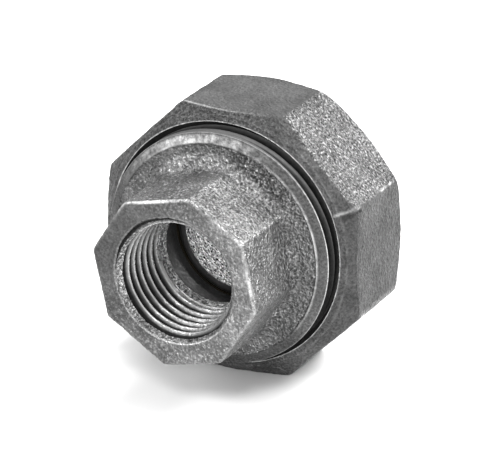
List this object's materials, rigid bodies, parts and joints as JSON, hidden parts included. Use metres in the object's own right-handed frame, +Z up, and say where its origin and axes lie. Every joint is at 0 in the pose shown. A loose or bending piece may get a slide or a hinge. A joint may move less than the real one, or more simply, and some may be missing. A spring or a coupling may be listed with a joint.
{
  "type": "pipe union",
  "caption": "Threaded pipe union in cast iron: octagonal ends joined by an octagonal nut that screws onto the head and draws the tail up to a seat ring.",
  "frame": {"origin": "on the union's axis, halfway between the open ends of the head and the tail", "axes": "Y is the union's axis: the head's port faces -Y and the tail's faces +Y. +Z is up, with the nut resting on one of its flats."},
  "size_m": [0.045, 0.047, 0.045],
  "materials": {
    "cast_iron": "as-cast, grainy mid-grey skin with bright worn edges",
    "brass": "turned"
  },
  "bodies": {
    "head": {"head_piece": "cast_iron", "seat_ring": "brass"},
    "tail": {"tail_piece": "cast_iron"},
    "nut": {"union_nut": "cast_iron"}
  },
  "joints": [
    {"name": "tail_draw", "type": "slide", "parent": "head", "child": "tail", "axis": [0, 1, 0], "range_m": [0, 0.0053]},
    {"name": "nut_turn", "type": "hinge", "parent": "tail", "child": "nut", "pos_m": [0, 0.0034, 0], "axis": [0, 1, 0], "range_deg": [0, 900]}
  ],
  "couplings": [
    {"joint": "tail_draw", "follows": "nut_turn", "m_per_rad": 0.00033693}
  ]
}
